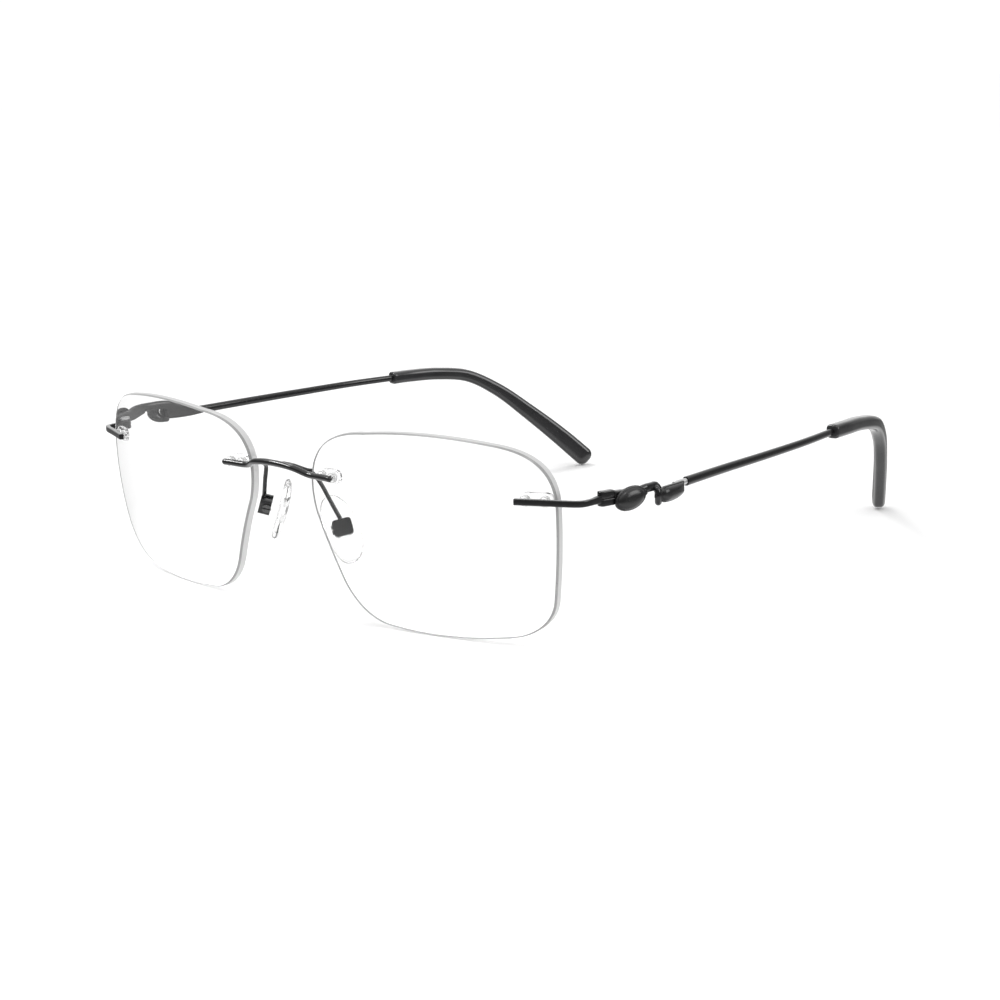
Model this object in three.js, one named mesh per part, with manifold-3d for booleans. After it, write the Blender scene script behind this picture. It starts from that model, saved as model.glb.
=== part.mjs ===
// Rimless eyeglasses with drill-mounted lenses, folding temples and rocking nose pads.
// Millimetres. The glasses stand on the lower lens edges and the temple tips: +Z is up, the lenses
// face -Y, the temples run back along +Y, and the wearer's left is +X. The origin is on the ground,
// under the middle of the bounding box.
import * as THREE from "three";
import { mergeVertices } from "three/addons/utils/BufferGeometryUtils.js";
import Module from "manifold-3d";

const wasm = await Module();
wasm.setup();

const degrees = THREE.MathUtils.degToRad;
const vec = (x, y, z) => new THREE.Vector3(x, y, z);

// ---- Driving dimensions -------------------------------------------------------------------------
// One half is described, with its x measured outward from the nose and its y back from the lens
// fronts, and the other half is its mirror image.

const FIT_GAP = 0.06; // between pieces that touch when assembled
const DEPTH_MIDDLE = 68.29; // half of the depth, front of the bridge to the back of the tips

const LENS_THICKNESS = 1.8;
const LENS_CURVE_RADIUS = 95;
const LENS_WRAP = degrees(9.8); // outer edge swept back
const LENS_LEAN = degrees(3.5); // top edge leaning forward
const LENS_CENTRE = vec(37, 2.75, 19.18);
const LENS_SIDES = 60;
const LENS_HOLE_RADIUS = 0.92;

const BRIDGE_RADIUS = 0.62;
const BRIDGE_RISE = 1.6; // the arch above its two feet
const BRIDGE_BOW = 1.1; // the arch in front of its two feet
const NASAL_FOOT = { u: -24.2, v: 8.6, inner: -4.2, outer: 2.5, pinSpacing: 3.1 };

const BAR_DEPTH = 0.95;
const BAR_HEIGHT = 1.15;
const TEMPORAL_FOOT = { u: 22.4, v: 8.17, inner: -3.5, outer: 9.1, pinSpacing: 3.7 };

const PIN_RADIUS = 0.42;
const SLEEVE_BORE = 0.5;
const SLEEVE_RADIUS = 0.85;
const PLUG_HEAD_RADIUS = 1.25;
const PLUG_HEAD_THICKNESS = 0.9;

const PAD_WIDTH = 6.7;
const PAD_LENGTH = 13.2;
const PAD_THICKNESS = 1.9;
const PAD_CENTRE = { left: vec(9.4, 9.2, 16.15), right: vec(9.4, 9.2, 17.4) }; // the arms are bent by hand
const PAD_UP = vec(-0.351, 0.06, 0.934).normalize();
const PAD_OUT = vec(0.671, -0.68, 0.296); // from the pad towards its arm
const PAD_PIVOT_HEIGHT = 3.2;
const BOX_OFFSET = 0.1; // from the middle of the pad towards its back edge
const BOX = { width: 3.8, length: 3.2, inner: 2.4, outer: 4.7, slot: 1.5, back: 0.5 };
const ARM_RADIUS = 0.42;

const HINGE_AXIS = vec(65.9, 19.1, 0);
const HINGE_TURN = degrees(14.4); // the temples leave the hinge at this angle, splaying outward
const BARREL_RADIUS = 1.15;
const BARREL_LEVELS = [25.9, 26.46, 26.52, 27.12, 27.18, 27.74]; // bottom and top of each barrel
const BLOCK_LEVELS = { bottom: 26.3, groove: 27.5, top: 28.7 };
const PLATE_INNER = 1.3; // from the hinge axis outward
const PLATE_OUTER = 2.7;
const OVAL_CENTRE = vec(PLATE_OUTER + FIT_GAP, 3.1, 26.95);

const LEAF_CENTRE = vec(70.25, 31.7, 26.2);
const LEAF_TURN = degrees(-6);
const WIRE_START_Y = 37.7;
const TIP_START_Y = 91.3;

// ---- Materials ----------------------------------------------------------------------------------

function finish(color, roughness, metalness, opacity = 1) {
  const transparent = opacity < 1;
  return () => new THREE.MeshStandardMaterial({ color, roughness, metalness, opacity, transparent });
}

const blackMetal = finish(0x17181a, 0.22, 0.9);
const darkSteel = finish(0x3a3b3e, 0.35, 1);
const brightSteel = finish(0xb9bcc0, 0.25, 1);
const blackAcetate = finish(0x0b0b0c, 0.15, 0);
const clearLens = finish(0xf4f8fa, 0.02, 0, 0.25);
const clearSilicone = finish(0xf3f4f5, 0.3, 0, 0.45);
const clearPlug = finish(0xeef1f3, 0.2, 0, 0.5);

// ---- Solids -------------------------------------------------------------------------------------

function solidOf(geometry) {
  const points = (geometry.index ? geometry.toNonIndexed() : geometry).getAttribute("position");
  const bare = mergeVertices(new THREE.BufferGeometry().setAttribute("position", points.clone()), 1e-4);
  return new wasm.Manifold(
    new wasm.Mesh({
      numProp: 3,
      vertProperties: bare.attributes.position.array,
      triVerts: new Uint32Array(bare.index.array),
    }),
  );
}

function geometryOf(solid) {
  const mesh = solid.getMesh();
  return new THREE.BufferGeometry()
    .setAttribute("position", new THREE.BufferAttribute(mesh.vertProperties, 3))
    .setIndex(new THREE.BufferAttribute(mesh.triVerts, 1));
}

function join(...geometries) {
  return geometryOf(geometries.map(solidOf).reduce((whole, piece) => whole.add(piece)));
}

function cut(body, ...tools) {
  return geometryOf(tools.map(solidOf).reduce((left, tool) => left.subtract(tool), solidOf(body)));
}

// A block between two opposite corners.
function block(low, high) {
  const size = high.clone().sub(low);
  const middle = low.clone().add(high).multiplyScalar(0.5);
  return new THREE.BoxGeometry(size.x, size.y, size.z).translate(middle.x, middle.y, middle.z);
}

// A cylinder along +Z, from one height to another.
function post(radius, low, high, sides = 16) {
  return new THREE.CylinderGeometry(radius, radius, high - low, sides)
    .rotateX(Math.PI / 2)
    .translate(0, 0, (low + high) / 2);
}

// A flat outline thickened along +Z, from one height to another.
function slab(shape, low, high, curveSegments = 8) {
  return new THREE.ExtrudeGeometry(shape, { depth: high - low, bevelEnabled: false, curveSegments })
    .translate(0, 0, low);
}

// A disc with a free outline (anticlockwise, lying in XY). The profile runs from the centre of the
// back to the centre of the front: x is the share of the way to the outline, y the height along Z.
function disc(outline, profile) {
  const geometry = new THREE.LatheGeometry(profile, outline.length);
  const position = geometry.getAttribute("position");
  for (let i = 0; i < position.count; i++) {
    const rim = outline[Math.floor(i / profile.length) % outline.length];
    const { x: share, y: height } = profile[i % profile.length];
    position.setXYZ(i, rim.x * share, rim.y * share, height);
  }
  return geometry;
}

// A rod bent along a curve. The profile gives half widths by share of the length; `flatten` tells,
// by share of the length, how much of that half width the rod keeps sideways and upright.
function bentRod(curve, profile, sides = 12, flatten = () => [1, 1]) {
  const geometry = new THREE.LatheGeometry(profile, sides);
  const position = geometry.getAttribute("position");
  const up = vec(0, 0, 1);
  for (let i = 0; i < position.count; i++) {
    const share = THREE.MathUtils.clamp(position.getY(i), 0, 1);
    const along = curve.getTangentAt(share);
    const sideways = up.clone().cross(along).normalize();
    const downward = sideways.clone().cross(along);
    const [wide, tall] = flatten(share);
    const point = curve.getPointAt(share);
    point.addScaledVector(sideways, position.getX(i) * wide);
    point.addScaledVector(downward, position.getZ(i) * tall);
    position.setXYZ(i, point.x, point.y, point.z);
  }
  return geometry;
}

// Half widths along a rod with round ends, for bentRod: pairs of [share of the length, half width].
function roundedProfile(length, widths, endRadius) {
  const points = [new THREE.Vector2(0, 0)];
  const widthAt = (share) => {
    const after = Math.max(1, widths.findIndex(([at]) => at >= share));
    const [a, b] = [widths[after - 1], widths[after]];
    return THREE.MathUtils.mapLinear(share, a[0], b[0], a[1], b[1]);
  };
  const round = endRadius / length;
  const turns = [25, 55, 90];
  for (const turn of turns) {
    const share = round * (1 - Math.cos(degrees(turn)));
    points.push(new THREE.Vector2(widthAt(share) * Math.sin(degrees(turn)), share));
  }
  for (const [share, width] of widths) {
    if (share > round * 1.2 && share < 1 - round * 1.2) points.push(new THREE.Vector2(width, share));
  }
  for (const turn of turns.toReversed()) {
    const share = 1 - round * (1 - Math.cos(degrees(turn)));
    points.push(new THREE.Vector2(widthAt(share) * Math.sin(degrees(turn)), share));
  }
  points.push(new THREE.Vector2(0, 1));
  return points;
}

// Even stations along a rod, with its half width from a function of the share of the length.
function stations(count, width) {
  return Array.from({ length: count + 1 }, (_, i) => [i / count, width(i / count)]);
}

// A round wire along a curve, with flat ends.
function wireAlong(curve, radius, steps, sides = 10) {
  const circle = new THREE.Shape().absarc(0, 0, radius, 0, 2 * Math.PI);
  const options = { steps, extrudePath: curve, curveSegments: sides };
  return new THREE.ExtrudeGeometry(circle, { ...options, bevelEnabled: false });
}

// A strip of constant width that follows a flat curve, as a shape in XY.
function ribbon(points, width) {
  const edges = [[], []];
  points.forEach((point, i) => {
    const before = points[Math.max(0, i - 1)];
    const after = points[Math.min(points.length - 1, i + 1)];
    const along = after.clone().sub(before).normalize();
    const half = new THREE.Vector2(-along.y, along.x).multiplyScalar(width / 2);
    edges[0].push(point.clone().sub(half));
    edges[1].unshift(point.clone().add(half));
  });
  return new THREE.Shape([...edges[0], ...edges[1]]);
}

// ---- Placing ------------------------------------------------------------------------------------

function part(parent, name, geometry, material) {
  const mesh = new THREE.Mesh(geometry, material());
  mesh.name = name;
  parent.add(mesh);
  return mesh;
}

function frame(parent, position, turn = 0) {
  const group = new THREE.Group();
  group.position.copy(position);
  group.rotation.z = turn;
  parent.add(group);
  return group;
}

// The geometry of a piece that stands in one frame, as seen in another.
function seenFrom(target, source, geometry) {
  target.updateWorldMatrix(true, false);
  source.updateWorldMatrix(true, false);
  const change = target.matrixWorld.clone().invert().multiply(source.matrixWorld);
  return geometry.clone().applyMatrix4(change);
}

// ---- Lens ---------------------------------------------------------------------------------------
// In the lens's own frame x points outward, y up and z forward.

function lensOutline() {
  const edge = new THREE.Path().moveTo(13.8, -18.3);
  edge.bezierCurveTo(20.6, -17.7, 24.4, -14.2, 25, -10);
  edge.quadraticCurveTo(26.7, -1, 26.45, 7.8);
  edge.bezierCurveTo(25.8, 14.9, 20.2, 17.1, 13.8, 17.8);
  edge.quadraticCurveTo(0, 19.7, -13.8, 17.85);
  edge.bezierCurveTo(-26.6, 17.1, -30.4, 10.6, -27.75, 1.6);
  edge.quadraticCurveTo(-24.8, -5, -22.3, -10.6);
  edge.bezierCurveTo(-20.3, -15.3, -16.3, -18.4, -11.9, -18.8);
  edge.quadraticCurveTo(1, -19.95, 13.8, -18.3);
  return edge.getSpacedPoints(LENS_SIDES).slice(0, LENS_SIDES);
}

const lensSag = (u, v) => (u * u + v * v) / (2 * LENS_CURVE_RADIUS);

function lensBlank() {
  const shares = [0, 0.4, 0.72, 1];
  const half = LENS_THICKNESS / 2;
  const back = shares.map((share) => new THREE.Vector2(share, -half));
  const front = shares.toReversed().map((share) => new THREE.Vector2(share, half));
  const geometry = disc(lensOutline(), [...back, ...front]);
  const position = geometry.getAttribute("position");
  for (let i = 0; i < position.count; i++) {
    position.setZ(i, position.getZ(i) - lensSag(position.getX(i), position.getY(i)));
  }
  return geometry;
}

function lensFrame(parent) {
  const group = frame(parent, LENS_CENTRE);
  group.rotation.set(Math.PI / 2 + LENS_LEAN, 0, LENS_WRAP, "ZXY");
  return group;
}

// A foot is a frame on the front of the lens: x runs outward along the foot, y back into the lens,
// z up, and the origin is in the middle of the foot's metal, which clears the lens by `standoff`.
function footFrame(parent, lens, foot, standoff) {
  const point = vec(foot.u, foot.v, LENS_THICKNESS / 2 + standoff - lensSag(foot.u, foot.v));
  lens.updateMatrix();
  return frame(parent, point.applyMatrix4(lens.matrix), LENS_WRAP + foot.u / LENS_CURVE_RADIUS);
}

const pinPlaces = (foot) => [-foot.pinSpacing / 2, foot.pinSpacing / 2];

// ---- Lens fixings: two pins and a clear double plug at each foot ----------------------------------

function pin(standoff, at) {
  const reach = standoff + LENS_THICKNESS + PLUG_HEAD_THICKNESS / 2;
  return post(PIN_RADIUS, -reach, -standoff, 10).rotateX(Math.PI / 2).translate(at, 0, 0);
}

function doublePlug(foot, standoff) {
  const [first, second] = pinPlaces(foot);
  const head = new THREE.Shape();
  head.absarc(second, 0, PLUG_HEAD_RADIUS, -Math.PI / 2, Math.PI / 2);
  head.absarc(first, 0, PLUG_HEAD_RADIUS, Math.PI / 2, 1.5 * Math.PI);
  const headFront = -standoff - LENS_THICKNESS - 2 * FIT_GAP;
  const pieces = [slab(head, headFront - PLUG_HEAD_THICKNESS, headFront)];
  const sleeveFront = -standoff - FIT_GAP;
  const sleeve = post(SLEEVE_RADIUS, headFront - 0.3, sleeveFront, 12);
  const sleeves = [first, second].map((at) => sleeve.clone().translate(at, 0, 0));
  const bores = [first, second].map((at) => post(SLEEVE_BORE, headFront - 2, 0, 10).translate(at, 0, 0));
  return cut(join(...pieces, ...sleeves), ...bores).rotateX(Math.PI / 2);
}

function lensHoles(lens, footGroup, foot) {
  return pinPlaces(foot).map((at) => {
    const drill = post(LENS_HOLE_RADIUS, -4, 0.4).rotateX(Math.PI / 2).translate(at, 0, 0);
    return seenFrom(lens, footGroup, drill);
  });
}

function lensFixings(side, place, footGroup, foot, standoff) {
  part(footGroup, `${side}_${place}_lens_plug`, doublePlug(foot, standoff), clearPlug);
  pinPlaces(foot).forEach((at, i) => {
    part(footGroup, `${side}_${place}_lens_pin_${i ? "outer" : "inner"}`, pin(standoff, at), darkSteel);
  });
}

// ---- Bridge -------------------------------------------------------------------------------------

function bridge(footPosition, footTurn) {
  const along = vec(Math.cos(footTurn), Math.sin(footTurn), 0);
  const place = (outward) => footPosition.clone().addScaledVector(along, outward);
  const tip = place(NASAL_FOOT.outer);
  const middle = place(0);
  const inner = place(NASAL_FOOT.inner);
  const crown = vec(0, middle.y - BRIDGE_BOW, middle.z + BRIDGE_RISE);
  const shoulder = vec(5.4, crown.y + 0.3, crown.z - 0.42);
  const half = [shoulder, inner, middle, tip];
  const mirrored = half.toReversed().map((point) => vec(-point.x, point.y, point.z));
  const curve = new THREE.CatmullRomCurve3([...mirrored, crown, ...half], false, "centripetal");
  const profile = roundedProfile(curve.getLength(), stations(24, () => BRIDGE_RADIUS), BRIDGE_RADIUS);
  return { geometry: bentRod(curve, profile, 10), crown, inner, shoulder };
}

// ---- Nose pads ----------------------------------------------------------------------------------
// In a pad's own frame x runs across it towards the back of the head, y up and z towards the arm.

function padFrame(parent, side) {
  const group = frame(parent, PAD_CENTRE[side]);
  const across = PAD_UP.clone().cross(PAD_OUT).normalize();
  const outward = across.clone().cross(PAD_UP);
  group.quaternion.setFromRotationMatrix(new THREE.Matrix4().makeBasis(across, PAD_UP, outward));
  return group;
}

function padOutline() {
  const [w, h] = [PAD_WIDTH / 2, PAD_LENGTH / 2];
  const edge = new THREE.Path().moveTo(0, -h);
  edge.bezierCurveTo(0.75 * w, -h, 1.1 * w, -0.6 * h, w, -0.1 * h);
  edge.bezierCurveTo(0.92 * w, 0.45 * h, 0.45 * w, h, -0.2 * w, h);
  edge.bezierCurveTo(-0.8 * w, h, -w, 0.75 * h, -w, 0.35 * h);
  edge.bezierCurveTo(-w, -0.4 * h, -0.7 * w, -h, 0, -h);
  return edge.getSpacedPoints(28).slice(0, 28);
}

const INSERT_LEVELS = { plate: 0.35, face: 0.9 };

function insertPlate(grow) {
  const [w, h] = [1.5 + grow, 2.6];
  const shape = new THREE.Shape();
  shape.absarc(0, h - 1.5, w, 0, Math.PI);
  shape.absarc(0, -h + 1.5, w, Math.PI, 2 * Math.PI);
  return slab(shape, INSERT_LEVELS.plate - grow, INSERT_LEVELS.face + (grow ? 1 : 0));
}

function padCushion() {
  const back = PAD_THICKNESS / 2;
  const profile = [
    [0, -back], [0.5, -0.88 * back], [0.85, -0.5 * back], [1, 0.2 * back], [0.92, back], [0, back],
  ].map(([share, height]) => new THREE.Vector2(share, height));
  return cut(disc(padOutline(), profile), insertPlate(FIT_GAP).translate(BOX_OFFSET, 0, 0));
}

function padInsert() {
  const reach = 0.85; // from the screw's axis to the tab's round end
  const tab = new THREE.Shape();
  tab.moveTo(-reach, INSERT_LEVELS.plate + 0.1);
  tab.lineTo(reach, INSERT_LEVELS.plate + 0.1);
  tab.absarc(0, PAD_PIVOT_HEIGHT, reach, 0, Math.PI);
  const hole = new THREE.Path().absarc(0, PAD_PIVOT_HEIGHT, 0.5, 0, 2 * Math.PI);
  tab.holes.push(hole);
  const standing = slab(tab, -0.65, 0.65).rotateX(Math.PI / 2).rotateZ(Math.PI / 2);
  return join(insertPlate(0), standing);
}

function padBox() {
  const [w, h] = [BOX.width / 2, BOX.length / 2];
  const corner = 0.75;
  const outline = new THREE.Shape().moveTo(w, h - corner);
  for (const [x, y] of [[w, h], [-w, h], [-w, -h], [w, -h]]) {
    const [inX, inY] = [x - Math.sign(x) * corner, y - Math.sign(y) * corner];
    const startsOnSide = x * y > 0;
    outline.lineTo(startsOnSide ? x : inX, startsOnSide ? inY : y);
    outline.quadraticCurveTo(x, y, startsOnSide ? inX : x, startsOnSide ? y : inY);
  }
  const shell = slab(outline, BOX.inner, BOX.outer, 4);
  const slot = block(vec(-BOX.slot / 2, -h - 1, BOX.inner - 1), vec(BOX.slot / 2, h + 1, BOX.outer - BOX.back));
  const bore = post(0.5, -3, 3).rotateY(Math.PI / 2).translate(0, 0, PAD_PIVOT_HEIGHT);
  const recess = post(0.98, -3, -w + 0.3).rotateY(Math.PI / 2).translate(0, 0, PAD_PIVOT_HEIGHT);
  return cut(shell, slot, bore, recess);
}

function padScrew() {
  const w = BOX.width / 2;
  const shank = post(0.42, -w + 0.1, w + 0.05, 16);
  const head = post(0.9, -w - 0.25, -w + 0.25, 20);
  const slot = block(vec(-1, -0.12, -w - 1), vec(1, 0.12, -w));
  return cut(join(shank, head), slot).rotateY(Math.PI / 2).translate(0, 0, PAD_PIVOT_HEIGHT);
}

function padArm(nasal, pad) {
  pad.updateMatrix();
  const end = vec(BOX_OFFSET, BOX.length / 2 + 0.1, BOX.outer - 0.5).applyMatrix4(pad.matrix);
  const bend = vec(8.55, 4.7, pad.position.z + 9.5);
  const behind = BRIDGE_RADIUS + ARM_RADIUS + FIT_GAP;
  const curve = new THREE.CatmullRomCurve3([
    vec(1.6, nasal.crown.y + behind + 0.05, nasal.crown.z - 0.1),
    vec(4.6, nasal.crown.y + behind + 0.3, nasal.shoulder.z + 0.15),
    vec(6.9, nasal.inner.y + behind + 0.35, nasal.inner.z + 0.4),
    vec(7.7, 3.1, 27.9),
    bend,
    bend.clone().lerp(end, 0.5),
    end,
  ], false, "centripetal");
  return wireAlong(curve, ARM_RADIUS, 20, 4);
}

// ---- Endpiece: bar on the lens, bend, hinge block and the two outer barrels -----------------------
// The hinge's frame has its origin on the hinge axis, x outward and y back along the temple.

function hingeFrame(parent) {
  return frame(parent, HINGE_AXIS, -HINGE_TURN);
}

function endpieceBar(footGroup, hinge) {
  footGroup.updateMatrix();
  hinge.updateMatrix();
  const ends = [TEMPORAL_FOOT.inner, TEMPORAL_FOOT.outer];
  const [start, corner] = ends.map((outward) => vec(outward, 0, 0).applyMatrix4(footGroup.matrix));
  const blockFront = vec(2.0, -2.6, 0).applyMatrix4(hinge.matrix);
  const flat = (point) => new THREE.Vector2(point.x, point.y);
  const [a, b, c] = [start, corner, blockFront].map(flat);
  const beforeBend = b.clone().add(a.clone().sub(b).setLength(1.5));
  const afterBend = b.clone().add(c.clone().sub(b).setLength(1.5));
  const bend = new THREE.QuadraticBezierCurve(beforeBend, b, afterBend).getPoints(6);
  const nearStart = a.clone().lerp(beforeBend, 0.96);
  const strip = ribbon([a, nearStart, ...bend, c], BAR_DEPTH);
  const bar = slab(strip, start.z - BAR_HEIGHT / 2, start.z + BAR_HEIGHT / 2);
  // The bar grows taller where it meets the block.
  const flare = ribbon([afterBend.clone().lerp(c, 0.3), c], BAR_DEPTH + 0.08);
  return join(bar, slab(flare, start.z - BAR_HEIGHT / 2 - 0.13, start.z + BAR_HEIGHT / 2 + 0.17));
}

// Two bands, one above the other, rounded at the front, with a groove between them.
function bandOutline(inset) {
  const [inner, outer] = [PLATE_INNER + inset / 2, PLATE_OUTER - inset];
  const [front, back] = [-2.9 + inset, -FIT_GAP - inset / 4];
  const outline = new THREE.Shape().moveTo(inner, back);
  outline.lineTo(inner, front + 0.3);
  outline.quadraticCurveTo(inner, front, inner + 0.3, front);
  outline.quadraticCurveTo(outer, front, outer, front + 0.7);
  outline.lineTo(outer, back);
  return outline;
}

function hingeBlock() {
  const { bottom, groove, top } = BLOCK_LEVELS;
  const bands = [[bottom, groove - 0.09], [groove + 0.09, top]];
  const core = slab(bandOutline(0.22), bottom + 0.1, top - 0.1, 4);
  return join(core, ...bands.map(([low, high]) => slab(bandOutline(0), low, high, 4)));
}

// Turns a slab drawn as (back, up) and thickened along +Z into one thickened outward, along +X.
function sideView() {
  return new THREE.Matrix4().makeBasis(vec(0, 1, 0), vec(0, 0, 1), vec(1, 0, 0));
}

function barrel(level, towardsFront) {
  const [low, high] = [BARREL_LEVELS[2 * level], BARREL_LEVELS[2 * level + 1]];
  const [near, far] = towardsFront ? [-BARREL_RADIUS, -0.15] : [0.15, BARREL_RADIUS];
  const web = block(vec(-0.3, near, low), vec(PLATE_INNER + 0.3, far, high));
  return join(post(BARREL_RADIUS, low, high, 20), web);
}

const screwHole = () => post(0.6, 20, 40, 16);

function endpiece(footGroup, hinge) {
  const barInHinge = endpieceBar(footGroup, hinge).applyMatrix4(hinge.matrix.clone().invert());
  return cut(join(barInHinge, hingeBlock(), barrel(0, true), barrel(2, true)), screwHole());
}

function hingeScrew() {
  const top = BARREL_LEVELS[5] + FIT_GAP;
  const shank = post(0.54, BARREL_LEVELS[0] - 0.12, top + 0.1, 16);
  const head = post(0.95, top, top + 0.34, 20);
  const slot = block(vec(-1.2, -0.13, top + 0.18), vec(1.2, 0.13, top + 1));
  return cut(join(shank, head), slot);
}

// ---- Temple -------------------------------------------------------------------------------------

// The cast link: middle barrel, plate under the oval, arch that hooks round the leaf's front end, plate
// under the leaf and a short tail.
function templeLink(hinge, leaf, wireStart) {
  hinge.updateMatrix();
  leaf.updateMatrix();
  const toHinge = hinge.matrix.clone().invert();
  const front = new THREE.Shape().moveTo(FIT_GAP, 26.3);
  front.lineTo(5.2, 26.3);
  front.lineTo(5.9, 27.8);
  front.lineTo(3.4, 28.45);
  front.lineTo(FIT_GAP, 28.6);
  const frontPlate = slab(front, PLATE_INNER, PLATE_OUTER).applyMatrix4(sideView());
  const back = new THREE.Shape().moveTo(-3.2, -0.7);
  back.lineTo(3.3, -0.6);
  back.lineTo(3.6, 0.9);
  back.lineTo(-3, 1.1);
  const backPlate = slab(back, -1.5, -0.55).applyMatrix4(sideView()).applyMatrix4(leaf.matrix);
  const arch = new THREE.CatmullRomCurve3([
    vec(1.98, 4.6, 27.35).applyMatrix4(hinge.matrix),
    vec(2.05, 6.9, 27.95).applyMatrix4(hinge.matrix),
    vec(-1.2, -4.7, 1.75).applyMatrix4(leaf.matrix),
    vec(-1.3, -3.1, 1.6).applyMatrix4(leaf.matrix),
    vec(-1.4, -1.9, 0.6).applyMatrix4(leaf.matrix),
  ], false, "centripetal");
  const hook = new THREE.CatmullRomCurve3([
    vec(-1.0, -3.9, 1.6),
    vec(-0.4, -4.15, 1.25),
    vec(-0.15, -4.2, 0.6),
    vec(-0.2, -4.2, -0.3),
    vec(-0.85, -3.85, -0.95),
    vec(-1.15, -2.5, -0.6),
  ].map((point) => point.applyMatrix4(leaf.matrix)), false, "centripetal");
  const tail = new THREE.LineCurve3(vec(-1.2, 2.9, 0.7).applyMatrix4(leaf.matrix), wireStart);
  const rods = [wireAlong(arch, 0.66, 8, 6), wireAlong(hook, 0.48, 8, 5), wireAlong(tail, 0.4, 1, 5)];
  const world = [backPlate, ...rods];
  const inHinge = world.map((geometry) => geometry.applyMatrix4(toHinge));
  return cut(join(frontPlate, barrel(1, false), ...inHinge), screwHole());
}

// A cabochon: a domed plaque with a stepped rim, lying in XY with its flat back at z = 0.
function plaque(outline, thickness) {
  const profile = [
    [0, 0], [0.97, 0], [1, 0.22], [0.97, 0.4], [0.86, 0.52], [0.76, 0.72], [0.5, 0.93], [0, 1],
  ].map(([share, height]) => new THREE.Vector2(share, height * thickness));
  return disc(outline, profile);
}

function ovalPlaque() {
  const edge = new THREE.Path().absellipse(0, 0, 3.35, 2.12, 0, 2 * Math.PI, false, degrees(12));
  const outline = edge.getSpacedPoints(24).slice(0, 24);
  const flat = plaque(outline, 1.35);
  return flat.applyMatrix4(sideView()).translate(OVAL_CENTRE.x, OVAL_CENTRE.y, OVAL_CENTRE.z);
}

function leafPlaque() {
  const edge = new THREE.Path().moveTo(-3.1, 0.1);
  edge.quadraticCurveTo(-3.05, -1.3, -1.9, -1.52);
  edge.quadraticCurveTo(0.3, -1.75, 2.3, -1.48);
  edge.quadraticCurveTo(4.3, -1.1, 4.5, -0.55);
  edge.lineTo(4.5, 1.3);
  edge.lineTo(-1.5, 1.42);
  edge.quadraticCurveTo(-3, 1.4, -3.1, 0.1);
  const outline = edge.getSpacedPoints(28).slice(0, 28);
  return plaque(outline, 1.4).applyMatrix4(sideView()).translate(-0.5, 0, 0);
}

function templePath() {
  return new THREE.CatmullRomCurve3([
    vec(68.85, WIRE_START_Y, 26.95),
    vec(67.8, 50, 26.95),
    vec(66.6, 65, 26.85),
    vec(65, 80, 26.75),
    vec(63, TIP_START_Y, 26.6),
  ]);
}

function corePath() {
  return new THREE.CatmullRomCurve3([
    vec(63.15, TIP_START_Y - 0.7, 26.6),
    vec(62.2, 97, 26.45),
    vec(60.6, 104.2, 26),
    vec(58.5, 112.5, 24.4),
    vec(55.2, 119.4, 20.2),
    vec(51.3, 125.5, 14.4),
  ]);
}

function tipPath() {
  return new THREE.CatmullRomCurve3([
    vec(63, TIP_START_Y + FIT_GAP, 26.6),
    vec(62.2, 97, 26.45),
    vec(60.6, 104.2, 26),
    vec(58.5, 112.5, 24.4),
    vec(55.2, 119.4, 20.2),
    vec(51.3, 125.5, 14.4),
    vec(47, 131.5, 8),
    vec(42.6, 137.4, 1.02),
  ]);
}

function templeWire() {
  const path = templePath();
  const length = path.getLength();
  const profile = roundedProfile(length, stations(10, (share) => 0.87 - 0.16 * share), 0.12);
  const rod = bentRod(path, profile, 10, () => [0.8, 1]);
  return join(rod, wireAlong(corePath(), 0.5, 12, 3));
}

function templeTip() {
  const path = tipPath();
  const profile = roundedProfile(path.getLength(), stations(18, () => 1.42), 1.35);
  profile.splice(0, 4, new THREE.Vector2(0, 0), new THREE.Vector2(0.95, 0), new THREE.Vector2(1.2, 0.004));
  const paddle = (share) => [1, 1 + 0.6 * THREE.MathUtils.smoothstep(share, 0.35, 0.97)];
  return cut(bentRod(path, profile, 12, paddle), wireAlong(corePath(), 0.62, 12, 3));
}

// ---- Assembly -----------------------------------------------------------------------------------

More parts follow.
